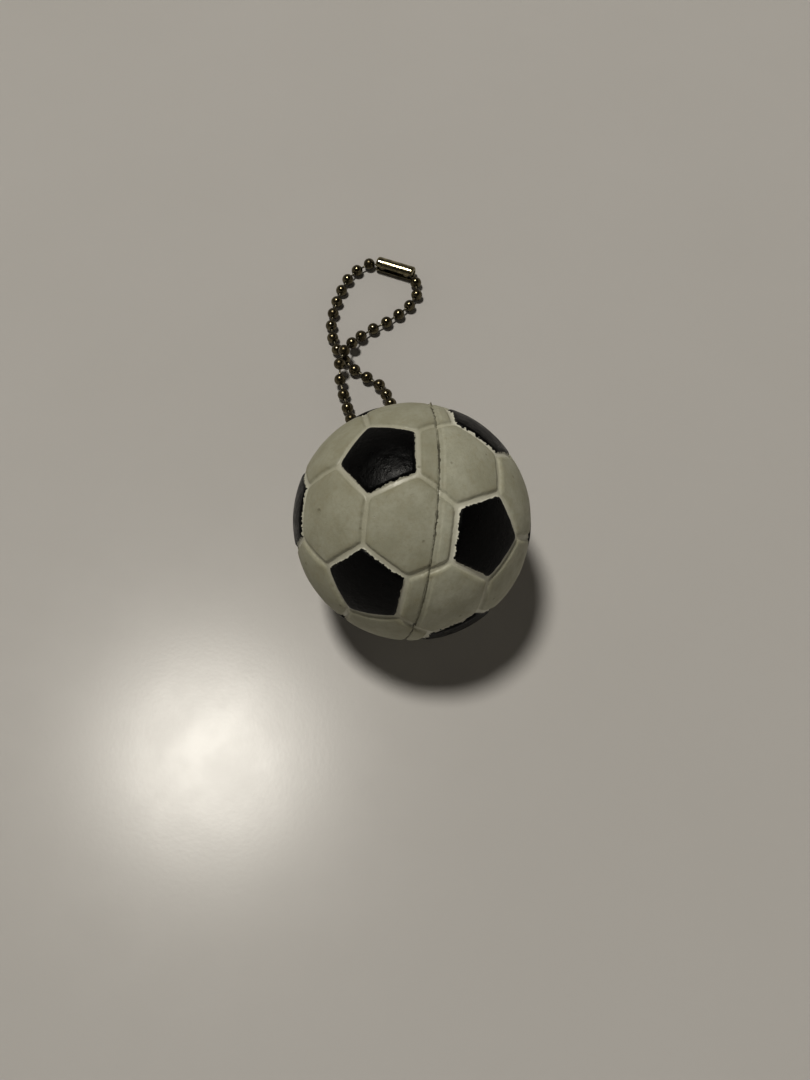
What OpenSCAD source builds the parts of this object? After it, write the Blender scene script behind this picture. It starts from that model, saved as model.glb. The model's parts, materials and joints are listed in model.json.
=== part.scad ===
// A small moulded foam football charm on a loop of ball chain, lying on a table.
// The origin is on the table, under the middle of the object's box. The chain runs back along +Y.

/* [Ball] */
// Diameter of the ball over its raised panels
ball_d = 40; // [39:0.5:41]
// Width of the moulded channel between two panels
channel_w = 1.1; // [0.8:0.1:1.4]
// Depth of the channel
channel_depth = 0.5; // [0.3:0.1:0.8]
// Where a pentagon's corner lies along the edge between two pentagon centres (1/3 is the regular ball)
corner_share = 0.35; // [0.32:0.01:0.37]
// Thickness of the black coat on the pentagons
coat_t = 0.15; // [0.1:0.05:0.3]

/* [Screw eye] */
// Wire diameter of the ring
eye_wire_d = 1.0; // [0.8:0.1:1.0]
// Inner diameter of the ring, which a bead passes
eye_hole_d = 3.0; // [2.8:0.1:3.2]
// Diameter of the shank in the foam
shank_d = 1.4; // [1:0.1:1.8]
// Length of the shank below the ball's surface
shank_depth = 10; // [6:1:14]

/* [Ball chain] */
// Outer diameter of a bead
bead_d = 2.4; // [2.35:0.05:2.4]
// Wall thickness of the hollow bead
bead_wall = 0.2; // [0.15:0.05:0.2]
// Diameter of the hole that a link pin leaves a bead by
bead_hole_d = 0.84; // [0.8:0.02:0.88]
// Diameter of a link pin's wire
pin_d = 0.36; // [0.3:0.02:0.4]
// Diameter of the upset head at each end of a link pin
pin_head_d = 0.96; // [0.94:0.01:0.96]

/* [Clasp] */
// Length of the rolled tube that joins the chain's two ends
clasp_l = 8.6; // [8.6:0.1:8.8]
// Wall thickness of the tube
clasp_wall = 0.25; // [0.2:0.05:0.3]
// Width of the slit along the tube
clasp_slit = 1.2; // [1:0.1:1.4]

/* [Hidden] */
$fn = 64;

ball_r = ball_d / 2;
core_r = ball_r - channel_depth;
panel_base_r = ball_r - 3;
// Clearance between a foam surface and the part that is fixed to it
bond_gap = 0.01;
bead_r = bead_d / 2;
bead_inner_r = bead_r - bead_wall;
// A pin turns about the centre of its head, which lies this far from the bead's centre
pivot_r = 0.64;
// Any direction that no link of the chain runs along
off_side = [0.3, 0.2, 1];
// How far the ball's contact point lies from the middle of the object's box
ball_y = -26.775;

// The ball as it lies: spin about its top pentagon, lean of that pentagon, and which way it leans
ball_spin = 23.9;
ball_lean = 16.3;
ball_lean_to = 157.5;

function unit(v) = v / norm(v);
function turn_z(v, a) = [v.x * cos(a) - v.y * sin(a), v.x * sin(a) + v.y * cos(a), v.z];
function turn_y(v, a) = [v.x * cos(a) + v.z * sin(a), v.y, v.z * cos(a) - v.x * sin(a)];
function laid(v) = turn_z(turn_y(turn_z(v, ball_spin), ball_lean), ball_lean_to);
function between(a, b) = acos(min(1, max(-1, unit(a) * unit(b))));

// The 12 pentagon centres: a pole, a ring of five, a lower ring of five and the other pole
ring_z = 1 / sqrt(5);
ring_r = 2 / sqrt(5);
function ring_point(k, up) = [
    ring_r * cos(72 * k + (up ? 0 : 36)),
    ring_r * sin(72 * k + (up ? 0 : 36)),
    up ? ring_z : -ring_z
];
top_pole = laid([0, 0, 1]);
upper = [for (k = [0:4]) laid(ring_point(k, true))];
lower = [for (k = [0:4]) laid(ring_point(k, false))];
pentagons = concat([top_pole], upper, lower, [-top_pole]);
// Each hexagon lies between three pentagon centres
hexagons = concat(
    [for (k = [0:4]) [top_pole, upper[k], upper[(k + 1) % 5]]],
    [for (k = [0:4]) [lower[k], upper[k], upper[(k + 1) % 5]]],
    [for (k = [0:4]) [upper[(k + 1) % 5], lower[k], lower[(k + 1) % 5]]],
    [for (k = [0:4]) [-top_pole, lower[k], lower[(k + 1) % 5]]]
);

// Angles at the ball's centre from a panel's middle to the middles of its sides
v0 = [0, 0, 1];
v1 = ring_point(0, true);
v2 = ring_point(1, true);
pent_side_mid = v0 + ((v1 + v2) / 2 - v0) * corner_share;
pent_to_side = between(v0, pent_side_mid);
hex_to_pent_side = between(v0 + v1 + v2, pent_side_mid);
hex_to_hex_side = between(v0 + v1 + v2, v1 + v2);
half_channel = asin(channel_w / 2 / ball_r);
function wall_at(side_angle) = ball_r * sin(side_angle - half_channel);

// The eye stands in the middle of a hexagon on the far side, low down
eye_dir = unit(upper[4] + lower[3] + lower[4]);
eye_across = unit([1, 0, 0] - eye_dir.x * eye_dir);
eye_stand = 3.8;
eye_centre = [0, 0, ball_r] + (ball_r + eye_stand) * eye_dir;
eye_ring_r = (eye_hole_d + eye_wire_d) / 2;
bead_play = 0.05;
clasp_inner_r = bead_r + bead_play;
clasp_outer_r = clasp_inner_r + clasp_wall;

// The chain's route, from each end of the clasp to the eye, as it lies from the ball's contact point
clasp_left = [-5.9, 71.7, clasp_outer_r];
clasp_right = [-0.7, 69.7, clasp_outer_r];
left_route = concat([clasp_left], [
    [-9, 72.2, 1.3], [-11.6, 70.5, 1.2], [-13.6, 68, 1.2], [-14.9, 65, 1.2], [-15.9, 61.7, 1.2],
    [-16.6, 58.3, 1.2], [-16.8, 54.9, 1.2], [-16.2, 51.5, 1.2], [-15, 48.6, 1.2], [-13.3, 46, 1.25],
    [-11.1, 43.7, 1.3], [-8.9, 42.2, 1.3], [-6.6, 40.5, 1.4], [-5.1, 37.8, 2], [-4.2, 35, 3],
    [-3.1, 32.1, 4.3], [-1.9, 29.3, 6.1], [-1, 26.6, 8], [-1.1, 24.1, 9.7], [-2.9, 22.2, 10.9]
], [eye_centre]);
right_route = concat([clasp_right], [
    [1.2, 66.8, 1.3], [1.3, 63.6, 1.2], [-0.1, 61, 1.2], [-2.4, 58.6, 1.2], [-5, 56.5, 1.2],
    [-7.8, 54.8, 1.2], [-10.3, 52.8, 1.4], [-12.1, 50.3, 2.4], [-13.7, 47.5, 3.55], [-14.6, 44.3, 3.4],
    [-14.5, 41.3, 2.2], [-13.8, 38.2, 1.4], [-12.9, 35, 1.3], [-12.1, 32, 2], [-11.5, 29.2, 3.6],
    [-11.1, 26.6, 5.8], [-10.4, 23.9, 8.4], [-8.6, 22, 10.5]
], [eye_centre]);
left_links = 21;
right_links = 19;
samples = 24;

function catmull(a, b, c, d, u) = (2 * b + (c - a) * u + (2 * a - 5 * b + 4 * c - d) * u * u
    + (3 * b - a - 3 * c + d) * u * u * u) / 2;
function curve(w) = let (n = len(w) - 1, first = 2 * w[0] - w[1], last = 2 * w[n] - w[n - 1])
    concat([for (i = [0:n - 1]) for (j = [0:samples - 1])
        catmull(i == 0 ? first : w[i - 1], w[i], w[i + 1], i == n - 1 ? last : w[i + 2], j / samples)],
        [w[n]]);
function run_of(c) = [for (i = 0, s = 0; i < len(c); s = s + (i < len(c) - 1 ? norm(c[i + 1] - c[i]) : 0),
    i = i + 1) s];
// The bead centres: points at even steps along the route
function strung(w, links) = let (c = curve(w), run = run_of(c), whole = run[len(run) - 1],
    tables = [for (k = [0:2]) [for (i = [0:len(c) - 1]) [run[i], c[i][k]]]])
    [for (b = [0:links]) [for (k = [0:2]) lookup(whole * b / links, tables[k])]];
left_beads = strung(left_route, left_links);
right_beads = strung(right_route, right_links);
beads = concat(left_beads, [for (b = [right_links - 1:-1:0]) right_beads[b]]);
eye_bead = left_links;
last_bead = len(beads) - 1;

function two_digits(n) = str(n < 10 ? "0" : "", n);
function bead_name(i) = str("bead_", two_digits(i + 1));

// Puts a shape with its Z along dir and its X towards side
module facing(dir, side) {
    z = unit(dir);
    x = unit(side - (side * z) * z);
    y = cross(z, x);
    multmatrix([[x.x, y.x, z.x, 0], [x.y, y.y, z.y, 0], [x.z, y.z, z.z, 0], [0, 0, 0, 1]])
        children();
}

module on_ball() {
    translate([0, ball_y, ball_r])
        children();
}

module pentagon_prism() {
    translate([0, 0, panel_base_r])
        cylinder(h = ball_r + 1 - panel_base_r, r = wall_at(pent_to_side) / cos(36), $fn = 5);
}

// A hexagon whose sides are in turn at two distances from its middle; the first faces +X
module hexagon_prism(wall_a, wall_b) {
    corners = [for (k = [0:5]) let (a = k % 2 == 0 ? wall_a : wall_b, b = k % 2 == 0 ? wall_b : wall_a,
        y = (b - a * cos(60)) / sin(60))
        [a * cos(60 * k) - y * sin(60 * k), a * sin(60 * k) + y * cos(60 * k)]];
    translate([0, 0, panel_base_r])
        linear_extrude(height = ball_r + 1 - panel_base_r)
            polygon(corners);
}

// A pentagon's sides face away from its corners, so its prism turns half a side
module over_pentagon(k) {
    v = pentagons[k];
    near = [for (w = pentagons) if (norm(w - v) > 0.1 && norm(w - v) < 1.2) w];
    facing(v, near[0] - v)
        children();
}

module foam_ball() {
    color("tan")
        difference() {
            union() {
                on_ball()
                    sphere(r = core_r, $fn = 96);
                intersection() {
                    on_ball()
                        sphere(r = ball_r, $fn = 96);
                    on_ball()
                        union()
                            for (h = hexagons)
                                facing(h[0] + h[1] + h[2], -h[0])
                                    hexagon_prism(wall_at(hex_to_hex_side), wall_at(hex_to_pent_side));
                }
                intersection() {
                    on_ball()
                        sphere(r = ball_r - coat_t - bond_gap, $fn = 96);
                    on_ball()
                        union()
                            for (k = [0:11])
                                over_pentagon(k)
                                    pentagon_prism();
                }
            }
            on_ball()
                facing(eye_dir, eye_across)
                    translate([0, 0, ball_r - shank_depth - bond_gap])
                        cylinder(h = shank_depth + 1, r = shank_d / 2 + bond_gap);
        }
}

module black_pentagons() {
    color("black")
        on_ball()
            intersection() {
                difference() {
                    sphere(r = ball_r, $fn = 96);
                    sphere(r = ball_r - coat_t, $fn = 96);
                }
                union()
                    for (k = [0:11])
                        over_pentagon(k)
                            pentagon_prism();
            }
}

module screw_eye() {
    color("dimgray")
        on_ball()
            facing(eye_dir, eye_across) {
                translate([0, 0, ball_r + eye_stand])
                    rotate([0, 90, 0])
                        rotate_extrude($fn = 64)
                            translate([eye_ring_r, 0])
                                circle(d = eye_wire_d, $fn = 32);
                translate([0, 0, ball_r - shank_depth])
                    cylinder(h = shank_depth + eye_stand - eye_ring_r, r = shank_d / 2);
            }
}

// A closed pin between two beads: a wire with a head inside each
module link_pin(from, to) {
    run = to - from;
    reach = norm(run) - 2 * pivot_r;
    translate(from)
        facing(run, off_side)
            translate([0, 0, pivot_r]) {
                cylinder(h = reach, d = pin_d, $fn = 24);
                sphere(d = pin_head_d, $fn = 32);
                translate([0, 0, reach])
                    sphere(d = pin_head_d, $fn = 32);
            }
}

// A hollow bead with a hole towards each neighbour; its own poles lie off to the side of the holes
module bead_shell(centre, neighbours) {
    first = unit(neighbours[0] - centre);
    second = len(neighbours) == 2 ? unit(neighbours[1] - centre) : -first;
    pole = unit(cross(second - first, off_side));
    translate(centre)
        difference() {
            facing(pole, cross(pole, second - first)) {
                difference() {
                    sphere(r = bead_r, $fn = 48);
                    sphere(r = bead_inner_r, $fn = 48);
                }
            }
            for (n = neighbours)
                facing(n - centre, off_side)
                    cylinder(h = bead_d, d = bead_hole_d, $fn = 32);
        }
}

// The bead, and the pin that goes on from it to the next bead away from the eye
module bead(i) {
    color("darkslategray")
        translate([0, ball_y, 0]) {
            bead_shell(beads[i], [for (n = [i - 1, i + 1]) if (n >= 0 && n <= last_bead) beads[n]]);
            if (i > 0 && i <= eye_bead)
                link_pin(beads[i], beads[i - 1]);
            if (i < last_bead && i >= eye_bead)
                link_pin(beads[i], beads[i + 1]);
        }
}

// A rolled tube with part-closed ends and a slit along its side, over the chain's two end beads
module clasp() {
    half = clasp_l / 2;
    middle = (clasp_left + clasp_right) / 2;
    along = unit(clasp_right - clasp_left);
    rim_r = clasp_slit / 2;
    color("darkgoldenrod")
        translate([0, ball_y, 0])
            translate(middle)
                facing(along, [0, -1, 0])
                    difference() {
                        rotate_extrude($fn = 64)
                            polygon([
                                [rim_r, -half], [clasp_outer_r - clasp_wall, -half],
                                [clasp_outer_r, -half + clasp_wall], [clasp_outer_r, half - clasp_wall],
                                [clasp_outer_r - clasp_wall, half], [rim_r, half],
                                [rim_r, half - clasp_wall], [clasp_inner_r, half - clasp_wall],
                                [clasp_inner_r, -half + clasp_wall], [rim_r, -half + clasp_wall]
                            ]);
                        translate([0, -clasp_slit / 2, -half - 1])
                            cube([clasp_outer_r + 1, clasp_slit, clasp_l + 2]);
                    }
}

foam_ball();
black_pentagons();
screw_eye();
clasp();
for (i = [0:last_bead])
    bead(i);
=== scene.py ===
"""A small moulded foam football charm on a loop of ball chain, lying on a pale table.

The ball, its black coat, every bead with its pins, the clasp and the screw eye are built here as detailed
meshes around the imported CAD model. Their shapes are worked out in millimetres and given to Blender in metres.
The camera, the floor and the lamps are in metres.
"""

import json
import math

import bmesh
import bpy
import numpy as np
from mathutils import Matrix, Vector, noise


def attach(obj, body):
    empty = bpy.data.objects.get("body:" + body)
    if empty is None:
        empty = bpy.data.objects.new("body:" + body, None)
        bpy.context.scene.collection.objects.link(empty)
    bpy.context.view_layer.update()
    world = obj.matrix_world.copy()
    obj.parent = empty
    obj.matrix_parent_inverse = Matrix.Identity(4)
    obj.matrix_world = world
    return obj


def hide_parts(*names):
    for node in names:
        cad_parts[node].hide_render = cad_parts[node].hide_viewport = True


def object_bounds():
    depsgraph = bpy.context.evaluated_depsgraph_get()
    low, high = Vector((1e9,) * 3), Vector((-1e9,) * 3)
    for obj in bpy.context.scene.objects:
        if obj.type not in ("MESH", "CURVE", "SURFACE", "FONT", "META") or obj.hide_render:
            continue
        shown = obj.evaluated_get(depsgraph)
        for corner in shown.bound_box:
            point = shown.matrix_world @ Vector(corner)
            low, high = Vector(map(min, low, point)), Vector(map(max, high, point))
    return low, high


MM = 0.001
rng = np.random.default_rng(40)

# The ball, as in the part's source
MM_BALL_R = 20.0
MM_CHANNEL_W = 1.1
MM_CHANNEL_DEPTH = 0.5
CORNER_SHARE = 0.35
BALL_SPIN, BALL_LEAN, BALL_LEAN_TO = (math.radians(a) for a in (23.9, 16.3, 157.5))
# Each mould half's pattern is turned this much about the parting plane's normal
SEAM_TWIST = math.radians(0.75)

# The chain, as in the part's source
MM_BEAD_R = 1.2
MM_HOLE_R = 0.42
MM_PIN_R = 0.18
MM_PIN_HEAD_R = 0.48
MM_PIVOT = 0.64  # from a bead's centre to that of a pin's head
BEADS = 41
EYE_BEAD = 22

# The clasp and the eye, as in the part's source
MM_CLASP_HALF = 4.3
MM_CLASP_R = 1.5
MM_CLASP_WALL = 0.25
MM_CLASP_HALF_SLIT = 0.6
MM_EYE_RING_R = 2.0
MM_EYE_WIRE_R = 0.5
MM_SHANK_R = 0.7

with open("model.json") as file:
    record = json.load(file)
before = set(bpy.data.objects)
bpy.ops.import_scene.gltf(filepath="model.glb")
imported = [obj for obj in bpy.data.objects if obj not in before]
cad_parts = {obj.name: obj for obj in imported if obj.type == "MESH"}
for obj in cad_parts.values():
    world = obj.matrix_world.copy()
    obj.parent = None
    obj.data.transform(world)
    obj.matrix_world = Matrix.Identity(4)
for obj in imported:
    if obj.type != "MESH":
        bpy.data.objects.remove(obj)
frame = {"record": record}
cad_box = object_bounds()
bodies = frame["record"]["behaviour"]["bodies"]
body_with = {node: body for body, held in bodies.items() for node in held}


# --------------------------------------------------------------------------------------- small helpers


def unit(v):
    return v / np.linalg.norm(v, axis=-1, keepdims=True)


def smoothstep(lo, hi, x):
    t = np.clip((x - lo) / (hi - lo), 0, 1)
    return t * t * (3 - 2 * t)


def turn(points, axis, angle):
    """points turned about axis by angle, which may differ from point to point."""
    axis = unit(np.asarray(axis, float))
    angle = np.broadcast_to(angle, points.shape[:1])[:, None]
    along = (points @ axis)[:, None] * axis
    return along + (points - along) * np.cos(angle) + np.cross(axis, points) * np.sin(angle)


def clouds(points, size, octaves=3, shift=0.0):
    """Fractal noise at each point, about -1 to 1; size is that of its largest lumps."""
    moved = Vector((shift,) * 3)
    return np.array([noise.fractal(Vector(p / size) + moved, 0.8, 2.1, octaves) for p in points])


def geodesic(levels):
    """Unit sphere of near-equal triangles: an icosahedron whose faces are split in four, levels times."""
    g = (1 + math.sqrt(5)) / 2
    v = [(-1, g, 0), (1, g, 0), (-1, -g, 0), (1, -g, 0), (0, -1, g), (0, 1, g)]
    v += [(0, -1, -g), (0, 1, -g), (g, 0, -1), (g, 0, 1), (-g, 0, -1), (-g, 0, 1)]
    f = [(0, 11, 5), (0, 5, 1), (0, 1, 7), (0, 7, 10), (0, 10, 11), (1, 5, 9), (5, 11, 4), (11, 10, 2)]
    f += [(10, 7, 6), (7, 1, 8), (3, 9, 4), (3, 4, 2), (3, 2, 6), (3, 6, 8), (3, 8, 9), (4, 9, 5), (2, 4, 11)]
    f += [(6, 2, 10), (8, 6, 7), (9, 8, 1)]
    v, f = unit(np.array(v, float)), np.array(f)
    for _ in range(levels):
        ends = np.sort(np.concatenate([f[:, [0, 1]], f[:, [1, 2]], f[:, [2, 0]]]), axis=1)
        keys, place = np.unique(ends[:, 0] * len(v) + ends[:, 1], return_inverse=True)
        middles = unit(v[keys // len(v)] + v[keys % len(v)])
        ab, bc, ca = (place.reshape(3, -1) + len(v))
        a, b, c = f.T
        f = np.concatenate([np.stack(t, 1) for t in ((a, ab, ca), (b, bc, ab), (c, ca, bc), (ab, bc, ca))])
        v = np.concatenate([v, middles])
    return v, f


def refined(v, f, near):
    """The triangles of a unit sphere, split in four where near says so at an edge's both ends."""
    bm = bmesh.new()
    mesh = mesh_of("refining", v, f)
    bm.from_mesh(mesh)
    bpy.data.meshes.remove(mesh)
    chosen = near(v)
    edges = [e for e in bm.edges if chosen[e.verts[0].index] and chosen[e.verts[1].index]]
    bmesh.ops.subdivide_edges(bm, edges=edges, cuts=1, use_grid_fill=True)
    bmesh.ops.triangulate(bm, faces=[x for x in bm.faces if len(x.verts) > 3])
    bm.verts.index_update()
    v = unit(np.array([p.co[:] for p in bm.verts]))
    f = np.array([[p.index for p in x.verts] for x in bm.faces])
    bm.free()
    return v, f


def mesh_of(name, v, faces):
    mesh = bpy.data.meshes.new(name)
    mesh.from_pydata(np.asarray(v).tolist(), [], [list(map(int, x)) for x in faces])
    mesh.update()
    return mesh


def set_marks(mesh, marks):
    """Named numbers, one for each of the mesh's points, that a material can read."""
    for mark, values in marks.items():
        mesh.attributes.new(mark, "FLOAT", "POINT").data.foreach_set("value", np.asarray(values, np.float32))


def bell(distance, width):
    return np.exp(-((distance / width) ** 2))


def piece(name, v_mm, faces, materials, body, replaces, face_material=None, marks=None):
    """One visible object from points in millimetres, riding on body; marks are numbers for its points."""
    mesh = mesh_of(name, np.asarray(v_mm) * MM, faces)
    mesh.polygons.foreach_set("use_smooth", np.full(len(mesh.polygons), True))
    for m in materials:
        mesh.materials.append(m)
    if face_material is not None:
        mesh.polygons.foreach_set("material_index", np.asarray(face_material, dtype=np.int32))
    set_marks(mesh, marks or {})
    obj = bpy.data.objects.new(name, mesh)
    bpy.context.scene.collection.objects.link(obj)
    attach(obj, body)
    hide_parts(*replaces)
    return obj


# ------------------------------------------------------------------------------------------- materials


class Nodes:
    """Builds one material's node tree in few words. Sizes in mm; a socket's name has _ for its spaces."""

    def __init__(self, name):
        self.material = bpy.data.materials.new(name)
        self.material.use_nodes = True
        self.tree = self.material.node_tree
        self.shader = self.tree.nodes["Principled BSDF"]
        self.place = self.add("ShaderNodeTexCoord").outputs["Object"]

    def add(self, kind, settings=None, **inputs):
        node = self.tree.nodes.new(kind)
        for key, value in (settings or {}).items():
            setattr(node, key, value)
        for key, value in inputs.items():
            self.put(node.inputs[key.replace("_", " ")], value)
        return node

    def put(self, socket, value):
        if isinstance(value, bpy.types.NodeSocket):
            self.tree.links.new(value, socket)
        else:
            socket.default_value = value

    def mark(self, name):
        return self.add("ShaderNodeAttribute", {"attribute_name": name}).outputs["Fac"]

    def noise(self, mm, detail=3.0, rough=0.55, seed=0.0):
        node = self.add("ShaderNodeTexNoise", {"noise_dimensions": "4D"}, Vector=self.place, W=seed)
        self.put(node.inputs["Scale"], 1 / (mm * MM))
        self.put(node.inputs["Detail"], detail)
        self.put(node.inputs["Roughness"], rough)
        return node.outputs["Fac"]

    def cells(self, mm):
        node = self.add("ShaderNodeTexVoronoi", {"feature": "F1"}, Vector=self.place)
        self.put(node.inputs["Scale"], 1 / (mm * MM))
        return node.outputs["Distance"]

    def maths(self, operation, a, b=0.0):
        node = self.add("ShaderNodeMath", {"operation": operation})
        self.put(node.inputs[0], a)
        self.put(node.inputs[1], b)
        return node.outputs[0]

    def times(self, a, b):
        return self.maths("MULTIPLY", a, b)

    def range(self, value, lo, hi, to_lo=0.0, to_hi=1.0):
        node = self.add("ShaderNodeMapRange", {"interpolation_type": "SMOOTHSTEP"}, Value=value)
        for key, number in zip(("From Min", "From Max", "To Min", "To Max"), (lo, hi, to_lo, to_hi)):
            node.inputs[key].default_value = number
        return node.outputs["Result"]

    def mix(self, share, a, b):
        node = self.add("ShaderNodeMix", {"data_type": "RGBA"})
        self.put(node.inputs[0], share)
        self.put(node.inputs[6], (*a, 1) if isinstance(a, tuple) else a)
        self.put(node.inputs[7], (*b, 1) if isinstance(b, tuple) else b)
        return node.outputs[2]

    def bump(self, height, mm, under=None):
        node = self.add("ShaderNodeBump", Height=height)
        node.inputs["Distance"].default_value = mm * MM
        if under is not None:
            self.put(node.inputs["Normal"], under)
        return node.outputs["Normal"]

    def finish(self, **inputs):
        for key, value in inputs.items():
            self.put(self.shader.inputs[key.replace("_", " ")], value)
        return self.material


def foam_material():
    """Skinned foam: mottled, grimy pads, cleaner channels, a dirty crack on the parting line, fine pits."""
    n = Nodes("foam_skin")
    pad, pent, seam, pit = n.mark("pad"), n.mark("pent"), n.mark("seam"), n.mark("pit")
    mottle = n.range(n.noise(5, 4), 0.32, 0.68)
    grime = n.range(n.noise(1.3, 5, 0.68, 3), 0.45, 0.74)
    broad = n.range(n.noise(14, 2, 0.5, 23), 0.35, 0.65, 0.0, 0.35)
    freckles = n.range(n.noise(0.45, 2, 0.5, 29), 0.42, 0.7, 0.0, 0.22)
    colour = n.mix(mottle, (0.362, 0.360, 0.278), (0.465, 0.468, 0.385))
    colour = n.mix(broad, colour, (0.315, 0.306, 0.228))
    colour = n.mix(freckles, colour, (0.28, 0.272, 0.2))
    colour = n.mix(n.times(grime, 0.42), colour, (0.30, 0.272, 0.178))
    # dirt gathers where the pads roll over, and rubs off the channels and round the paint
    jag = n.times(n.maths("SUBTRACT", n.noise(0.7, 4), 0.5), 0.45)
    rolled = n.range(n.maths("ADD", pad, n.times(jag, 3.0)), 1.3, 0.2)
    patchy = n.range(n.noise(3, 3, 0.5, 13), 0.4, 0.7, 0.0, 0.5)
    colour = n.mix(n.times(rolled, patchy), colour, (0.30, 0.28, 0.19))
    clean = n.range(n.maths("ADD", pad, jag), 0.10, -0.22)
    colour = n.mix(n.times(clean, 0.6), colour, (0.56, 0.555, 0.455))
    halo = n.range(n.maths("ADD", pent, jag), -1.1, -0.1)
    colour = n.mix(n.times(halo, 0.75), colour, (0.66, 0.655, 0.575))
    # the half of the ball on the seam's left is coloured darker than the other half
    darker_left_half = n.range(seam, -1.2, 1.2, 0.0, 0.33)
    colour = n.mix(darker_left_half, colour, (0.2, 0.19, 0.13))
    colour = n.mix(n.times(pit, 0.55), colour, (0.15, 0.14, 0.09))
    specks = n.range(n.noise(0.35, 2, 0.5, 7), 0.73, 0.78)
    colour = n.mix(n.times(specks, 0.45), colour, (0.16, 0.15, 0.10))
    # the parting line's crack wanders, swells into knots and fades in and out
    torn = n.times(n.maths("SUBTRACT", n.noise(0.5, 3, 0.6, 17), 0.5), 0.16)
    off_line = n.maths("ABSOLUTE", n.maths("ADD", seam, torn))
    knots = n.range(n.noise(1.1, 4, 0.65, 11), 0.36, 0.68, 0.05, 0.30)
    crack = n.range(n.maths("SUBTRACT", off_line, knots), 0.02, -0.03)
    faded = n.range(n.noise(6, 3, 0.6, 19), 0.38, 0.6, 0.35, 0.9)
    colour = n.mix(n.times(crack, faded), colour, (0.075, 0.07, 0.045))
    lumps = n.bump(n.noise(1.4, 3, 0.5, 9), 0.10)
    grain = n.bump(n.noise(0.22, 3, 0.6, 5), 0.035, lumps)
    normal = n.bump(n.range(n.cells(0.8), 0.0, 0.16), 0.04, grain)
    # the channels' skin is smoother than the rubbed pads, and glints
    rubbed = n.range(n.noise(2.0, 3), 0.3, 0.7, 0.60, 0.80)
    rough = n.maths("SUBTRACT", rubbed, n.times(clean, 0.27))
    return n.finish(Base_Color=colour, Roughness=rough, Normal=normal)


def coat_material():
    """Brushed black paint: satin, faintly wrinkled, dusty in places."""
    n = Nodes("black_paint")
    wrinkle = n.noise(0.9, 4, 0.6)
    dust = n.range(n.noise(0.5, 4, 0.6, 4), 0.62, 0.8)
    colour = n.mix(n.times(dust, 0.06), (0.0012, 0.0012, 0.0012), (0.05, 0.05, 0.045))
    normal = n.bump(n.noise(0.25, 3, 0.6, 8), 0.045, n.bump(wrinkle, 0.11))
    rough = n.range(n.noise(1.6, 3, 0.5, 2), 0.3, 0.7, 0.26, 0.42)
    return n.finish(Base_Color=colour, Roughness=rough, Normal=normal, Specular_IOR_Level=0.12)


def metal_material(name, bright, dull, rough, worn, slit=False):
    """Plated metal: bright where rubbed, dull and rougher where tarnished. slit draws the beads' seam."""
    n = Nodes(name)
    tarnish = n.range(n.noise(1.3, 5, 0.65), 0.38, 0.66)
    specks = n.range(n.noise(0.25, 3, 0.6, 6), 0.66, 0.72)
    colour = n.mix(tarnish, bright, dull)
    colour = n.mix(n.times(specks, worn), colour, (0.03, 0.026, 0.018))
    if slit:
        line = n.maths("LESS_THAN", n.maths("ABSOLUTE", n.mark("slit")), 0.025)
        colour = n.mix(line, colour, (0.012, 0.010, 0.007))
    normal = n.bump(n.noise(0.16, 3, 0.6, 3), 0.006)
    roughness = n.range(tarnish, 0.0, 1.0, rough, rough + 0.16)
    return n.finish(Base_Color=colour, Roughness=roughness, Metallic=1.0, Normal=normal)


def floor_material():
    """A pale table with a soft gloss."""
    n = Nodes("pale_table")
    tint = n.mix(n.noise(60, 3), (0.50, 0.488, 0.474), (0.53, 0.518, 0.508))
    # matte where it curves up, or the lamp would show there as a bright band
    flat_rough = n.range(n.noise(9, 3), 0.3, 0.7, 0.20, 0.225)
    rough = n.maths("ADD", flat_rough, n.times(n.mark("curve"), 0.5))
    normal = n.bump(n.noise(0.7, 2), 0.004)
    return n.finish(Base_Color=tint, Roughness=rough, Normal=normal, Specular_IOR_Level=0.14)


# -------------------------------------------------------------------------------------------- the ball


def laid(v):
    """A direction on the upright ball, as the ball lies: spun, then leant."""
    v = np.atleast_2d(np.asarray(v, float))
    up, y = np.array([0, 0, 1.0]), np.array([0, 1.0, 0])
    return turn(turn(turn(v, up, BALL_SPIN), y, BALL_LEAN), up, BALL_LEAN_TO)


def icosahedron():
    """The 12 pentagon centres: pole, upper ring, lower ring, other pole."""
    ring_z, ring_r = 1 / math.sqrt(5), 2 / math.sqrt(5)
    rings = [
        (ring_r * math.cos(a), ring_r * math.sin(a), z)
        for turned, z in ((0, ring_z), (36, -ring_z))
        for a in np.radians(72 * np.arange(5) + turned)
    ]
    return laid([(0, 0, 1), *rings, (0, 0, -1)])


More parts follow.
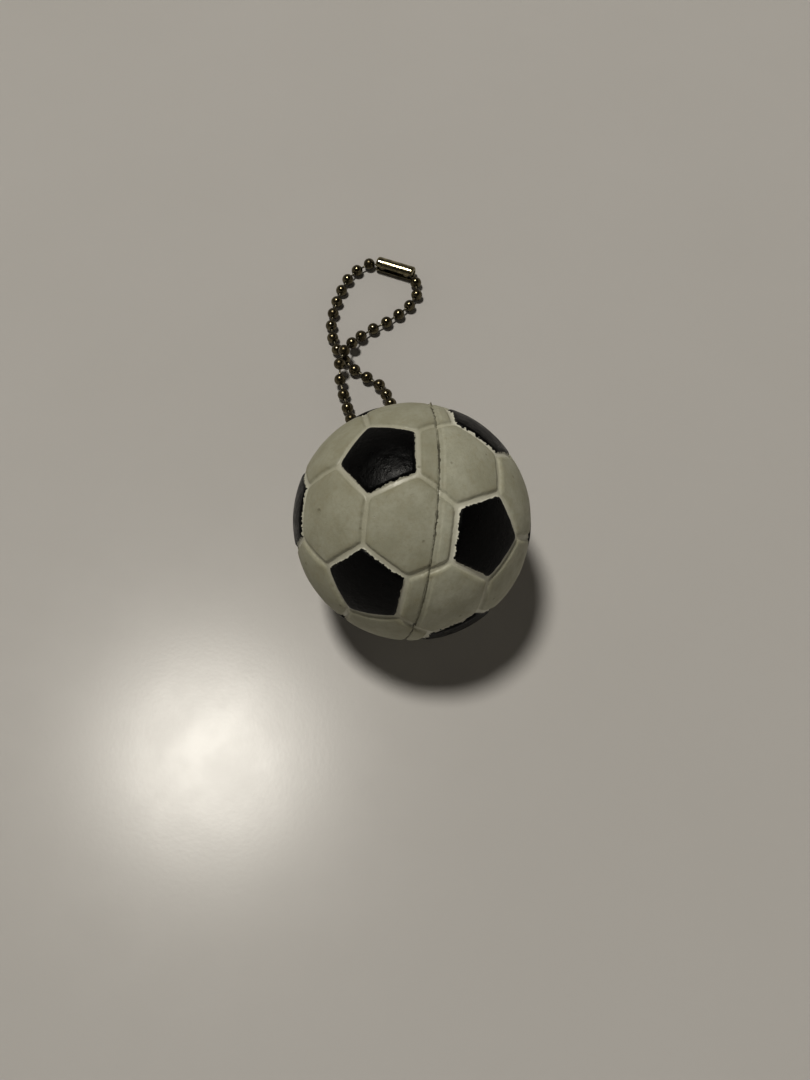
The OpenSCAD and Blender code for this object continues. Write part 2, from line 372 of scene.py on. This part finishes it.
def panel_walls(centres):
    """For each panel, its middle, the directions that its sides face and how far out each side is, in mm."""
    def apart(a, b):
        return math.acos(float(unit(a) @ unit(b)))

    near = centres @ centres.T > 0.4
    np.fill_diagonal(near, False)
    threes = [(i, j, k) for i, j, k in np.ndindex(12, 12, 12) if near[i, j] and near[j, k] and near[i, k]]
    v0, v1, v2 = centres[list(threes[0])]
    side_middle = v0 + ((v1 + v2) / 2 - v0) * CORNER_SHARE
    half_channel = math.asin(MM_CHANNEL_W / 2 / MM_BALL_R)
    reach = [
        MM_BALL_R * math.sin(angle - half_channel)
        for angle in (apart(v0, side_middle), apart(v0 + v1 + v2, side_middle), apart(v0 + v1 + v2, v1 + v2))
    ]

    def across(v, axis):
        return unit(v - (v @ axis) * axis)

    pentagons, hexagons = [], []
    for i in range(12):
        beside = [centres[j] + centres[k] for x, j, k in threes if x == i and k < j]
        pentagons.append((centres[i], [across(v, centres[i]) for v in beside], [reach[0]] * 5))
    for i, j, k in threes:
        if k < j < i:
            axis = unit(centres[i] + centres[j] + centres[k])
            out = [across(centres[x], axis) for x in (i, j, k)]
            hexagons.append((axis, out + [-v for v in out], [reach[1]] * 3 + [reach[2]] * 3))
    return pentagons, hexagons


def inside_by(n, panels, corner=0.0):
    """How far inside the nearest panel's edge each direction is, in mm; negative outside.

    A corner above 0 rounds the panels' corners.
    """
    far_outside, in_reach = -9.0, 0.85
    best = np.full(len(n), far_outside)
    for axis, sides, walls in panels:
        here = n @ axis > in_reach
        room = np.array(walls) - MM_BALL_R * (n[here] @ np.array(sides).T)
        if corner:
            depth = -corner * np.log(np.exp(-room / corner).sum(axis=1))
        else:
            depth = room.min(axis=1)
        best[here] = np.maximum(best[here], depth)
    return best


CENTRES = icosahedron()
PENTAGONS, HEXAGONS = panel_walls(CENTRES)
SEAM_NORMAL = CENTRES[np.argmin(CENTRES[:, 0])]  # the mould parts across a pentagon on the ball's left
BALL_CENTRE = np.array([0, cad_box[0].y / MM + MM_BALL_R, MM_BALL_R])
eye_mount = next(m for m in frame["record"]["mounts"] if m["name"] == "eye")
EYE = np.array(eye_mount["pos_m"]) / MM
EYE_ACROSS = unit(np.array(eye_mount["axis"]))
EYE_DIR = unit(EYE - BALL_CENTRE)
# one large burst bubble on the left, and small ones anywhere
PITS = 90
PIT_DIRS = unit(np.concatenate([[(-0.725, -0.225, 0.65)], rng.normal(size=(PITS, 3))]))
PIT_R = np.concatenate([[0.42], rng.uniform(0.14, 0.3, PITS)])
# the mould's vent is at the top of the parting line
VENT_TOWARD = unit(np.array([0.13, 0.72, 0.68]))
VENT_DIR = unit(VENT_TOWARD - (VENT_TOWARD @ SEAM_NORMAL) * SEAM_NORMAL)


def pattern(n):
    """Depth inside any pad and inside any pentagon, and distance from the parting plane, all in mm."""
    seam = MM_BALL_R * (n @ SEAM_NORMAL)
    shifted = turn(n, SEAM_NORMAL, -SEAM_TWIST * np.sign(seam))
    pent = inside_by(shifted, PENTAGONS, corner=0.24)
    pad = np.maximum(pent, inside_by(shifted, HEXAGONS, corner=0.22))
    return pad, pent, seam


def ball_radius(n):
    """The moulded surface, in mm from the centre, with the marks that its materials read."""
    pad, pent, seam = pattern(n)

    # a pad's edge rolls over in this width, from a little outside its outline, and its rim is a little low
    roll, outside, rim_drop, rim_w = 0.62, 0.14, 0.09, 1.3
    wobble = clouds(n, 0.05, 2) * 0.07
    edge = np.clip((pad + wobble + outside) / roll, 0, 1)
    raised = MM_CHANNEL_DEPTH * np.sqrt(1 - (1 - edge) ** 2)
    pillow = rim_drop * np.exp(-np.clip(pad, 0, None) / rim_w) * (edge > 0)
    r = MM_BALL_R - MM_CHANNEL_DEPTH + raised - pillow
    r += clouds(n, 0.35, 3, 5.0) * 0.05 + clouds(n, 0.035, 2, 9.0) * 0.008

    # the parting line: a lower band on one side, a valley, and a torn fin of flash in it
    band_drop, valley_depth, valley_w, fin_height, fin_w = 0.13, 0.16, 0.22, 0.22, 0.07
    band = smoothstep(-1.0, -0.75, seam) * (seam < 0)
    fin = np.clip(clouds(n, 0.06, 3, 3.0) + 0.35, 0.1, 1)
    r -= band_drop * band * np.clip(edge, 0.2, 1) + valley_depth * bell(seam, valley_w)
    r += fin_height * fin * bell(seam, fin_w)

    # a burst bubble is a low hollow in a slight ring, in shares of its own radius
    hollow, ring = 0.4, 0.16
    pit = np.zeros(len(n))
    for direction, radius in zip(PIT_DIRS, PIT_R):
        away = MM_BALL_R * np.linalg.norm(n - direction, axis=1) / radius
        close = away < 2.2
        near = away[close]
        r[close] += radius * (ring * bell(near - 1.05, 0.35) - hollow * np.exp(-2 * near**2))
        pit[close] = np.maximum(pit[close], bell(near - 0.55, 0.4))

    # the skin puckers in round the eye's shank, and a nub of flash stands where the mould was vented
    pucker_depth, pucker_r, nub_height, nub_r = 0.45, 1.3, 0.75, 0.26
    r -= pucker_depth * bell(MM_BALL_R * np.linalg.norm(n - EYE_DIR, axis=1), pucker_r)
    r += nub_height * bell(MM_BALL_R * np.linalg.norm(n - VENT_DIR, axis=1), nub_r)
    return r, {"pad": pad, "pent": pent, "seam": seam, "pit": pit}


def on_table(points):
    """Points about the ball's centre, flattened where they rest, put in place."""
    points[:, 2] = np.maximum(points[:, 2], -MM_BALL_R)
    return points + BALL_CENTRE


def make_ball():
    n, f = geodesic(7)
    for width in (0.75, 0.4):
        n, f = refined(n, f, lambda v, width=width: abs(MM_BALL_R * (v @ SEAM_NORMAL)) < width)
    r, marks = ball_radius(n)
    points = on_table(n * r[:, None])
    ball = piece("foam_ball_skin", points, f, [foam_material()], "ball", ["foam_ball"], marks=marks)


def make_coat():
    """The paint: a sheet just proud of each pentagon that dives under the skin along a ragged edge."""
    proud_by, under_by, spill = 0.035, 0.06, 0.45
    n, f = geodesic(7)
    pent = pattern(n)[1]
    f = f[(pent[f] > -spill).all(axis=1)]
    used, place = np.unique(f, return_inverse=True)
    n, f = n[used], place.reshape(-1, 3)
    n, f = refined(n, f, lambda v: abs(pattern(v)[1] - 0.1) < 0.55)
    pent = pattern(n)[1]
    ragged = clouds(n, 0.022, 4, 2.0) * 0.17 + clouds(n, 0.09, 2, 6.0) * 0.12
    proud = np.clip((pent + 0.03 + ragged) * 0.5, -under_by, proud_by)
    r = ball_radius(n)[0] + proud
    keep = (proud[f] > 0.005 - under_by).any(axis=1)
    used, place = np.unique(f[keep], return_inverse=True)
    points = on_table((n * r[:, None])[used])
    faces = place.reshape(-1, 3)
    piece("black_coat", points, faces, [coat_material()], "ball", ["black_pentagons"])


# ------------------------------------------------------------------------------------------- the chain


def bead_centre(node):
    """Where most of a node's outward normals, followed back by a bead's radius, meet. In mm."""
    mesh = bpy.data.objects[node].data
    p = np.array([v.co[:] for v in mesh.vertices]) / MM
    back = p - MM_BEAD_R * np.array([v.normal[:] for v in mesh.vertices])
    same_place = 0.03
    close = np.linalg.norm(back[:, None] - back[None], axis=2) < same_place
    return back[close[np.argmax(close.sum(axis=1))]].mean(axis=0)


def lathe(profile, start, along, sides=24):
    """A closed round shape from (distance along, radius) steps, in mm."""
    along = unit(np.asarray(along, float))
    x = unit(np.cross(along, [0.3, 0.2, 1.0]))
    y = np.cross(along, x)
    angles = np.arange(sides) * 2 * math.pi / sides
    ring = np.cos(angles)[:, None] * x + np.sin(angles)[:, None] * y
    v = np.concatenate([start + d * along + r * ring for d, r in profile])
    f = [
        (k * sides + i, k * sides + (i + 1) % sides, (k + 1) * sides + (i + 1) % sides, (k + 1) * sides + i)
        for k in range(len(profile) - 1)
        for i in range(sides)
    ]
    last = (len(profile) - 1) * sides
    f += [tuple(range(sides))[::-1], tuple(range(last, last + sides))]
    return v, f


def bead_shape(holes, roll):
    """A stamped bead with a turned-in rim at each hole and a slit where its strip closes.

    Also gives each point's distance across the slit, in mm.
    """
    rim_inset, rim_depth, far_side = 0.03, 0.32, 2
    n, f = geodesic(4)
    v = n * MM_BEAD_R
    rim = math.asin(MM_HOLE_R / MM_BEAD_R)
    rim_height = MM_BEAD_R * math.cos(rim)
    for hole in holes:
        angle = np.arccos(np.clip(n @ hole, -1, 1))
        outward = unit(n - (n @ hole)[:, None] * hole + 1e-9)
        lip = abs(angle - rim) < math.radians(2.2)
        v[lip] = hole * rim_height + outward[lip] * MM_HOLE_R
        inner = (angle < rim) & ~lip
        share = angle[inner, None] / rim
        wide = np.clip(share / 0.55, 0, 1) * (MM_HOLE_R - rim_inset)
        deep = rim_depth * np.clip((1 - share) / 0.3, 0, 1)
        v[inner] = hole * (rim_height - deep) + outward[inner] * wide
        near_rim = (angle > rim) & (angle < rim * 1.5) & ~lip
        v[near_rim] *= 1 - 0.02 * np.cos((angle[near_rim, None] / rim - 1) * math.pi)
    axis = unit(holes[0] - (holes[1] if len(holes) > 1 else -holes[0]))
    side = unit(np.cross(axis, [math.cos(roll), math.sin(roll), 0.35]))
    slit = (n @ np.cross(axis, side)) * MM_BEAD_R + far_side * (n @ side < 0)
    return v, f, slit


def pin_shape(start, end):
    """A link pin: a wire with an upset head at each end."""
    along = end - start
    length = np.linalg.norm(along) - 2 * MM_PIVOT
    angles = np.radians(np.arange(8, 150, 14))
    head = [(-MM_PIN_HEAD_R * math.cos(a), MM_PIN_HEAD_R * math.sin(a)) for a in angles]
    neck = [(0.55, MM_PIN_R + 0.03), (0.75, MM_PIN_R)]
    profile = head + neck + [(length - d, r) for d, r in reversed(head + neck)]
    return lathe(profile, start + unit(along) * MM_PIVOT, along, 20)


def joined(shapes):
    """Several shapes' points and faces as one."""
    points, faces, count = [], [], 0
    for v, f in shapes:
        points.append(v)
        faces += [tuple(int(i) + count for i in x) for x in f]
        count += len(v)
    return np.concatenate(points), faces


def make_chain(metal, pin_metal):
    """Every bead, with the pins that go on from it away from the eye. Gives the beads' centres."""
    off_slit = 9.0
    names = [f"bead_{i + 1:02d}" for i in range(BEADS)]
    centres = np.array([bead_centre(name) for name in names])
    eye = EYE_BEAD - 1
    for i, name in enumerate(names):
        beside = [j for j in (i - 1, i + 1) if 0 <= j < BEADS]
        v, f, slit = bead_shape([unit(centres[j] - centres[i]) for j in beside], rng.uniform(0, 2 * math.pi))
        outward = [j for j in beside if (j < i <= eye) or (j > i >= eye)]
        pins = [pin_shape(centres[i], centres[j]) for j in outward]
        points, faces = joined([(v + centres[i], f), *pins])
        slots = [0] * len(f) + [1] * (len(faces) - len(f))
        marks = {"slit": np.concatenate([slit, np.full(len(points) - len(v), off_slit)])}
        piece(
            f"{name}_metal", points, faces, [metal, pin_metal], body_with[name], [name],
            face_material=slots, marks=marks,
        )
    return centres


# --------------------------------------------------------------------------------- clasp and screw eye


def make_clasp(metal, ends):
    """The rolled tube over the two end beads, open along its slit and turned in at its ends."""
    along = unit(ends[1] - ends[0])
    middle = (ends[0] + ends[1]) / 2
    x = unit(along[1] * along - np.array([0, 1.0, 0]))
    y = np.cross(along, x)
    half, outer, inner = MM_CLASP_HALF, MM_CLASP_R, MM_CLASP_R - MM_CLASP_WALL
    corner_r, lip_r, steps = 0.45, MM_CLASP_R - 0.75, 24
    # the wall's outline, as distance along and radius: outside, rounded corner, turned-in lip, inside, back
    right = [
        (half - corner_r + corner_r * math.sin(a), outer - corner_r + corner_r * math.cos(a))
        for a in np.radians(np.arange(0, 91, 15))
    ]
    right += [(half, lip_r + 0.13), (half - 0.12, lip_r), (half - 0.25, lip_r + 0.09), (half - 0.45, inner)]
    outline = [(d, outer) for d in np.linspace(corner_r - half, half - corner_r, steps)[:-1]] + right
    outline += [(d, inner) for d in np.linspace(half - 0.6, 0.6 - half, steps)]
    outline += [(-d, r) for d, r in reversed(right)][:-1]
    along_by, radius = np.array(outline).T
    # the slit's two edges are parallel, so it takes a wider angle of the tube's inside than of its outside
    opening = np.arcsin(MM_CLASP_HALF_SLIT / radius)
    rounds, n = 73, len(outline)
    edge_drop, edge_w = 0.05, 0.12
    v, f = [], []
    for share in np.linspace(0, 1, rounds):
        angle = opening + share * (2 * math.pi - 2 * opening)
        from_edge = min(share, 1 - share) * 2 * math.pi
        drop = edge_drop * bell(from_edge, edge_w)
        ring = np.cos(angle)[:, None] * x + np.sin(angle)[:, None] * y
        v.append(middle + along_by[:, None] * along + (radius - drop)[:, None] * ring)
    for k in range(rounds - 1):
        f += [(k * n + i, k * n + (i + 1) % n, (k + 1) * n + (i + 1) % n, (k + 1) * n + i) for i in range(n)]
    last = (rounds - 1) * n
    f += [tuple(range(n))[::-1], tuple(range(last, last + n))]
    piece("clasp_tube", np.concatenate(v), f, [metal], "clasp_end", ["clasp"])


def make_eye(metal):
    """A bent wire eye: a ring closed on its own stem, which goes down into the foam."""
    sides, steps = 20, 96
    v, f = [], []
    for k in range(steps):
        a = 2 * math.pi * k / steps
        out = math.cos(a) * EYE_DIR + math.sin(a) * np.cross(EYE_ACROSS, EYE_DIR)
        for i in range(sides):
            b = 2 * math.pi * i / sides
            from_centre = MM_EYE_RING_R + MM_EYE_WIRE_R * math.cos(b)
            v.append(EYE + out * from_centre + EYE_ACROSS * MM_EYE_WIRE_R * math.sin(b))
    for k in range(steps):
        for i in range(sides):
            j, m = (k + 1) % steps, (i + 1) % sides
            f.append((k * sides + i, k * sides + m, j * sides + m, j * sides + i))
    # the stem, as distance from the ring's centre and radius, starts inside the ring's wire and is ridged
    top = 0.35 - (MM_EYE_RING_R + MM_EYE_WIRE_R)
    ridge_pitch, ridge_depth = 0.15, 0.09
    stem = [(top, 0.3), (top - 0.02, 0.52), (top - 0.2, MM_SHANK_R)]
    for k in range(24):
        stem.append((top - 0.35 - ridge_pitch * k, MM_SHANK_R - (ridge_depth if k % 2 else 0.0)))
    stem += [(-12.6, MM_SHANK_R), (-13.6, 0.35), (-13.75, 0.1)]
    points, faces = joined([(np.array(v), f), lathe(stem, EYE, EYE_DIR, 28)])
    piece("screw_eye_wire", points, faces, [metal], "ball", ["screw_eye"])


# -------------------------------------------------------------------------------- camera, floor, light


def look(obj, target):
    obj.rotation_euler = (Vector(target) - obj.location).to_track_quat("-Z", "Y").to_euler()


def make_camera():
    """A phone's lens, looking down at 65 degrees to the table."""
    camera = bpy.data.objects.new("camera", bpy.data.cameras.new("camera"))
    camera.data.sensor_width = 36.0
    camera.data.lens = 31.5
    camera.data.clip_start = 0.005
    before_ball, height, lean = 0.0704, 0.1637, math.radians(25)
    camera.location = (-0.0012, BALL_CENTRE[1] * MM - before_ball, height)
    camera.rotation_euler = (lean, 0, 0)
    bpy.context.scene.collection.objects.link(camera)
    bpy.context.scene.camera = camera


def make_floor():
    """A pale sweep: flat round the object, then curving up, so that low views have a background."""
    flat_r, curve_r, sweep_top, sides = 0.55, 0.35, 0.62, 96
    angles = np.radians(np.arange(0, 91, 6))
    curve = [(flat_r + curve_r * math.sin(a), curve_r - curve_r * math.cos(a)) for a in angles]
    profile = [(r, 0.0) for r in (0.12, 0.3)] + curve + [(flat_r + curve_r, sweep_top)]
    around = np.arange(sides) * 2 * math.pi / sides
    points = [(0.0, 0.0, 0.0)] + [(r * math.cos(a), r * math.sin(a), z) for r, z in profile for a in around]
    faces = [(0, 1 + i, 1 + (i + 1) % sides) for i in range(sides)]
    for k in range(len(profile) - 1):
        low, high = 1 + k * sides, 1 + (k + 1) * sides
        faces += [(low + i, high + i, high + (i + 1) % sides, low + (i + 1) % sides) for i in range(sides)]
    floor = bpy.data.objects.new("floor", mesh_of("floor", points, faces))
    floor.data.polygons.foreach_set("use_smooth", np.full(len(faces), True))
    set_marks(floor.data, {"curve": [0.0] + [float(r >= flat_r) for r, _ in profile for _ in around]})
    floor.data.materials.append(floor_material())
    bpy.context.scene.collection.objects.link(floor)


def lamp(name, place, size, watts, colour):
    """A round soft lamp that faces the object."""
    light = bpy.data.objects.new(name, bpy.data.lights.new(name, "AREA"))
    light.data.shape = "DISK"
    light.data.size = size
    light.data.energy = watts
    light.data.color = colour
    light.location = place
    bpy.context.scene.collection.objects.link(light)
    look(light, (0, 0, 0.01))


def make_room():
    lamp("ceiling_lamp", (-0.529, 0.462, 2.4), 0.46, 46.0, (1.0, 0.965, 0.89))
    lamp("soft_fill", (0.35, -0.55, 0.9), 0.8, 0.03, (1.0, 0.93, 0.82))
    world = bpy.data.worlds.new("room")
    bpy.context.scene.world = world
    world.use_nodes = True
    back = world.node_tree.nodes["Background"]
    back.inputs["Color"].default_value = (0.62, 0.52, 0.34, 1)
    back.inputs["Strength"].default_value = 0.015
    # a phone's picture is darker in the shadows than a straight one
    bpy.context.scene.view_settings.view_transform = "Standard"
    bpy.context.scene.view_settings.gamma = 0.85


make_camera()
make_floor()
make_room()
make_ball()
make_coat()
chain_metal = metal_material(
    "dark_bead_plate", (0.17, 0.148, 0.095), (0.07, 0.057, 0.032), 0.2, 0.6, slit=True
)
pin_metal = metal_material("pin_wire", (0.24, 0.22, 0.16), (0.11, 0.10, 0.07), 0.28, 0.6)
clasp_metal = metal_material("clasp_plate", (0.42, 0.38, 0.25), (0.16, 0.14, 0.085), 0.16, 0.5)
eye_metal = metal_material("eye_wire", (0.26, 0.25, 0.21), (0.12, 0.11, 0.085), 0.26, 0.6)
centres = make_chain(chain_metal, pin_metal)
make_clasp(clasp_metal, (centres[0], centres[-1]))
make_eye(eye_metal)
